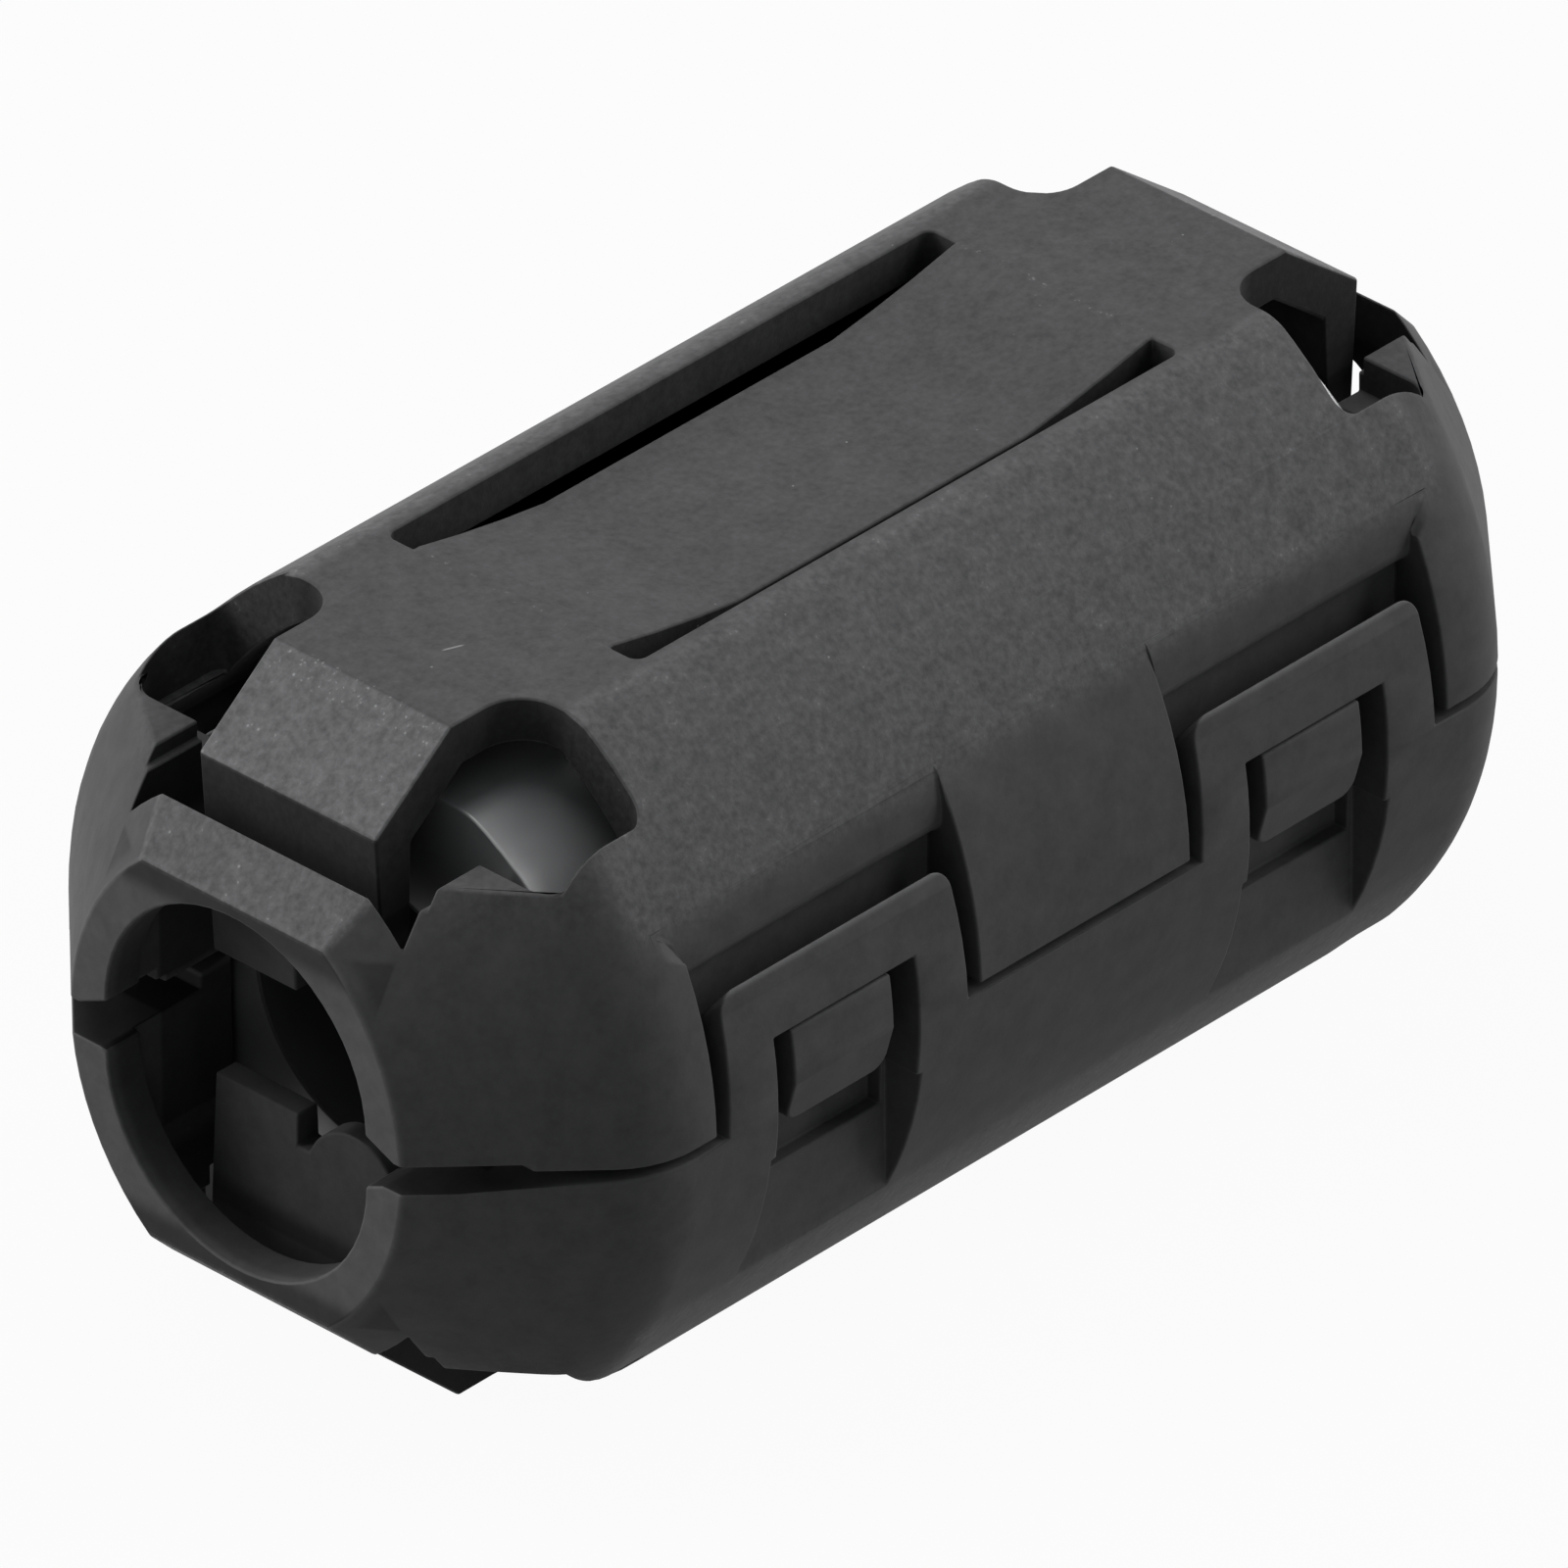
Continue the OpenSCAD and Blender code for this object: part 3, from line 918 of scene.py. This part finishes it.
    def blunt_spikes(self, bm: bmesh.types.BMesh, surface: BVHTree) -> None:
        """Puts vertices that the rounding threw past a thin tip back on the surface.

        Args:
            bm: The rounded mesh.
            surface: The surface before the rounding.
        """
        limit = self.spike_share * self.round_mm * MM
        for vert in bm.verts:
            nearest, _, _, gap = surface.find_nearest(vert.co)
            if gap > limit:
                vert.co = nearest

    def make(self, material: bpy.types.Material) -> bpy.types.Object:
        """Builds the skin in place of its nodes.

        Args:
            material: The finish.

        Returns:
            The skin.
        """
        bm = self.gather()
        self.round_edges(bm)
        skin = finished_object(bm, self.name, material)
        weights = skin.modifiers.new("face_weights", "WEIGHTED_NORMAL")
        weights.keep_sharp = True
        weights.weight = self.face_weight
        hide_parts(*self.nodes)
        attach(skin, self.body.value)
        LOG.info("%s: %d faces", self.name, len(skin.data.polygons))
        return skin


@dataclass
class HingeWeb:
    """A thin strap that joins the shells along the back, bent in a half round."""

    name: str
    node: str
    thick_mm: float = 0.3
    arc_segments: int = 40
    bend_share: float = 0.8

    def make(self, material: bpy.types.Material) -> bpy.types.Object:
        """Builds the web over its node.

        Args:
            material: The finish.

        Returns:
            The web.
        """
        low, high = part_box(self.node)
        half_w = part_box("case_upper")[1].y
        outer = (high.z - low.z) / 2
        bm = bmesh.new()
        centre = Vector((low.x, half_w, 0))
        rim = [
            bm.verts.new(centre - Vector((0, 0, r))) for r in (outer - self.thick_mm * MM, outer)
        ]
        edge = bm.edges.new(rim)
        bmesh.ops.spin(
            bm,
            geom=[*rim, edge],
            cent=centre,
            axis=(1, 0, 0),
            angle=math.pi,
            steps=self.arc_segments,
            use_merge=False,
        )
        moved = bmesh.ops.extrude_face_region(bm, geom=list(bm.faces), use_keep_orig=True)
        verts = [v for v in moved["geom"] if isinstance(v, bmesh.types.BMVert)]
        bmesh.ops.translate(bm, verts=verts, vec=(high.x - low.x, 0, 0))
        bmesh.ops.recalc_face_normals(bm, faces=bm.faces)
        web = finished_object(bm, self.name, material)
        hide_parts(self.node)
        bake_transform(web)
        LOG.info("%s: %d faces", self.name, len(web.data.polygons))
        return web


# --------------------------------------------------------------------- the bead


@dataclass
class Bead:
    """The whole clip-on ferrite bead."""

    nylon: NylonFinish = field(default_factory=NylonFinish)
    ferrite: FerriteFinish = field(default_factory=FerriteFinish)

    def make(self) -> list[bpy.types.Object]:
        """Builds and dresses every piece.

        Returns:
            The pieces.
        """
        nylon = self.nylon.build()
        ferrite = self.ferrite.build()
        shells = [
            Skin("shell_lower", LOWER_MOULDING, Body.LOWER, Slot.NYLON),
            Skin("shell_upper", ("case_upper",), Body.UPPER, Slot.NYLON),
        ]
        cores = [
            Skin(name, (node,), body, Slot.FERRITE, bore_mm=self.ferrite.bore_mm)
            for name, node, body in (
                ("core_half_lower", "core_lower", Body.LOWER),
                ("core_half_upper", "core_upper", Body.UPPER),
            )
        ]
        webs = [
            HingeWeb("web_left", "hinge_web_left"),
            HingeWeb("web_right", "hinge_web_right"),
        ]
        return [
            *(skin.make(nylon) for skin in shells),
            *(skin.make(ferrite) for skin in cores),
            *(web.make(nylon) for web in webs),
        ]


# ------------------------------------------------------------------- the studio


def towards(azimuth: float, elevation: float) -> Vector:
    """Works out a direction from the bead.

    Args:
        azimuth: Degrees round from the front, towards the right.
        elevation: Degrees above the floor.

    Returns:
        The unit vector.
    """
    a, e = math.radians(azimuth), math.radians(elevation)
    return Vector((math.sin(a) * math.cos(e), -math.cos(a) * math.cos(e), math.sin(e)))


@dataclass(frozen=True)
class Lamp:
    """A soft square lamp that faces the bead, with its lengths in metres."""

    name: str
    azimuth: float
    elevation: float
    size: float
    power: float
    distance: float = 0.4

    def make(self) -> bpy.types.Object:
        """Hangs the lamp.

        Returns:
            The lamp.
        """
        back = towards(self.azimuth, self.elevation)
        data = bpy.data.lights.new(self.name, "AREA")
        data.shape = "SQUARE"
        data.size = self.size
        data.energy = self.power
        lamp = bpy.data.objects.new(self.name, data)
        bpy.context.scene.collection.objects.link(lamp)
        lamp.location = back * self.distance
        lamp.rotation_mode = "QUATERNION"
        lamp.rotation_quaternion = back.to_track_quat("Z", "Y")
        lamp.visible_camera = False
        return lamp


@dataclass
class Studio:
    """Pale floor, soft lamps and an even surrounding.

    The floor has a painted shadow under the bead. Its half length, front and back are
    given, and how far beyond them it fades.
    """

    floor_tone: Colour = (0.35, 0.35, 0.35)
    floor_size: float = 4.0
    floor_lift: float = 0.95
    painted_shadow_mm: tuple[float, float, float] = (6.5, 0.3, 4.1)
    painted_shadow_fade_mm: Fade = (1.9, 3.1)
    painted_shadow_gain: float = 0.1
    ambient: float = 0.215
    ambient_tint: Colour = (0.93, 1.0, 0.99)
    lamps: tuple[Lamp, ...] = (
        Lamp("right", 66, 25, 0.3, 1.33),
        Lamp("high_back", 180, 70, 0.3, 0.89),
        Lamp("left_back", 215, 20, 0.3, 1.38),
    )

    def seen_ray(self, shader: Shader) -> Sock:
        """Finds the rays that show the background, straight or in gloss and glass.

        Args:
            shader: The shader.

        Returns:
            1 for those rays and 0 for light.
        """
        rays = ("Is Camera Ray", "Is Glossy Ray", "Is Transmission Ray")
        camera, glossy, clear = (shader.node("ShaderNodeLightPath", out=ray) for ray in rays)
        return camera.maths("MAXIMUM", glossy).maths("MAXIMUM", clear)

    def beside_bead(self, shader: Shader) -> Sock:
        """Finds the floor that lies clear of the painted shadow under the bead.

        Args:
            shader: The shader.

        Returns:
            0 under the bead and 1 where the floor is pale.
        """
        x, y, _ = (axis / MM for axis in shader.axes())
        half_l, front_y, back_y = self.painted_shadow_mm
        past_end = (abs(x) - half_l).maths("MAXIMUM", 0.0)
        past_side = (y - back_y).maths("MAXIMUM", front_y - y).maths("MAXIMUM", 0.0)
        past = (past_end * past_end + past_side * past_side) ** 0.5
        return past.step(*self.painted_shadow_fade_mm)

    def make_floor(self) -> None:
        """Lays the floor under the bead."""
        shader = Shader("pale_floor")
        beside = self.beside_bead(shader)
        # painted shadow: the floor is darker and left unlifted under the bead
        dark = alpha(self.floor_tone, self.painted_shadow_gain)
        tone = shader.mix_colours(beside, dark, alpha(self.floor_tone))
        matt = shader.node("ShaderNodeBsdfDiffuse", feeds={"Color": tone})
        glow = shader.node("ShaderNodeEmission", feeds={"Color": (1, 1, 1, 1), "Strength": 1.0})
        lift = self.seen_ray(shader) * beside * self.floor_lift
        mixed = shader.node("ShaderNodeMixShader", feeds={0: lift, 1: matt, 2: glow})
        material = shader.close(mixed)
        bm = bmesh.new()
        bmesh.ops.create_grid(bm, x_segments=1, y_segments=1, size=self.floor_size / 2)
        bmesh.ops.translate(bm, verts=bm.verts, vec=(0, 0, CAD_BOX[0].z))
        floor = finished_object(bm, "floor", material)

    def make_world(self) -> None:
        """Sets the even surrounding: white where it is seen, dimmer as light."""
        world = bpy.data.worlds.new("studio")
        bpy.context.scene.world = world
        world.use_nodes = True
        shader = Shader(world)
        fill = {"Color": alpha(self.ambient_tint), "Strength": self.ambient}
        soft = shader.node("ShaderNodeBackground", feeds=fill)
        white = {"Color": (1, 1, 1, 1), "Strength": 1.0}
        seen = shader.node("ShaderNodeBackground", feeds=white)
        feeds = {0: self.seen_ray(shader), 1: soft, 2: seen}
        mixed = shader.node("ShaderNodeMixShader", feeds=feeds)
        shader.node("ShaderNodeOutputWorld", feeds={"Surface": mixed}, out=None)

    def make(self) -> None:
        """Builds the studio."""
        self.make_floor()
        self.make_world()
        for lamp in self.lamps:
            lamp.make()
        bpy.context.scene.view_settings.view_transform = "Standard"


@dataclass
class Camera:
    """A long lens, turned as the bead was seen."""

    azimuth: float = -46.45
    elevation: float = 32.62
    roll: float = -0.40
    distance_mm: float = 523.7
    sensor_mm: float = 36.0
    clip_m: tuple[float, float] = (0.01, 10.0)
    pixels_per_mm: float = 64.71
    frame_pixels: int = 1600
    centre_right_mm: float = -0.0475
    centre_up_mm: float = -0.123

    def make(self) -> bpy.types.Object:
        """Sets up the camera.

        Returns:
            The camera.
        """
        back = towards(self.azimuth, self.elevation)
        roll = Matrix.Rotation(math.radians(self.roll), 3, "Z").to_quaternion()
        turn = back.to_track_quat("Z", "Y") @ roll
        right = turn @ Vector((1, 0, 0))
        up = turn @ Vector((0, 1, 0))
        target = (right * self.centre_right_mm + up * self.centre_up_mm) * MM
        data = bpy.data.cameras.new("camera")
        data.sensor_width = self.sensor_mm
        data.lens = self.pixels_per_mm * self.distance_mm * self.sensor_mm / self.frame_pixels
        data.clip_start, data.clip_end = self.clip_m
        camera = bpy.data.objects.new("camera", data)
        bpy.context.scene.collection.objects.link(camera)
        camera.location = target + back * self.distance_mm * MM
        camera.rotation_mode = "QUATERNION"
        camera.rotation_quaternion = turn
        bpy.context.scene.camera = camera
        return camera


def main() -> None:
    """Builds the bead, the studio and the camera."""
    logging.basicConfig(level=logging.INFO, format="%(message)s")
    Camera().make()
    Studio().make()
    Bead().make()


if __name__ == "__main__":
    main()
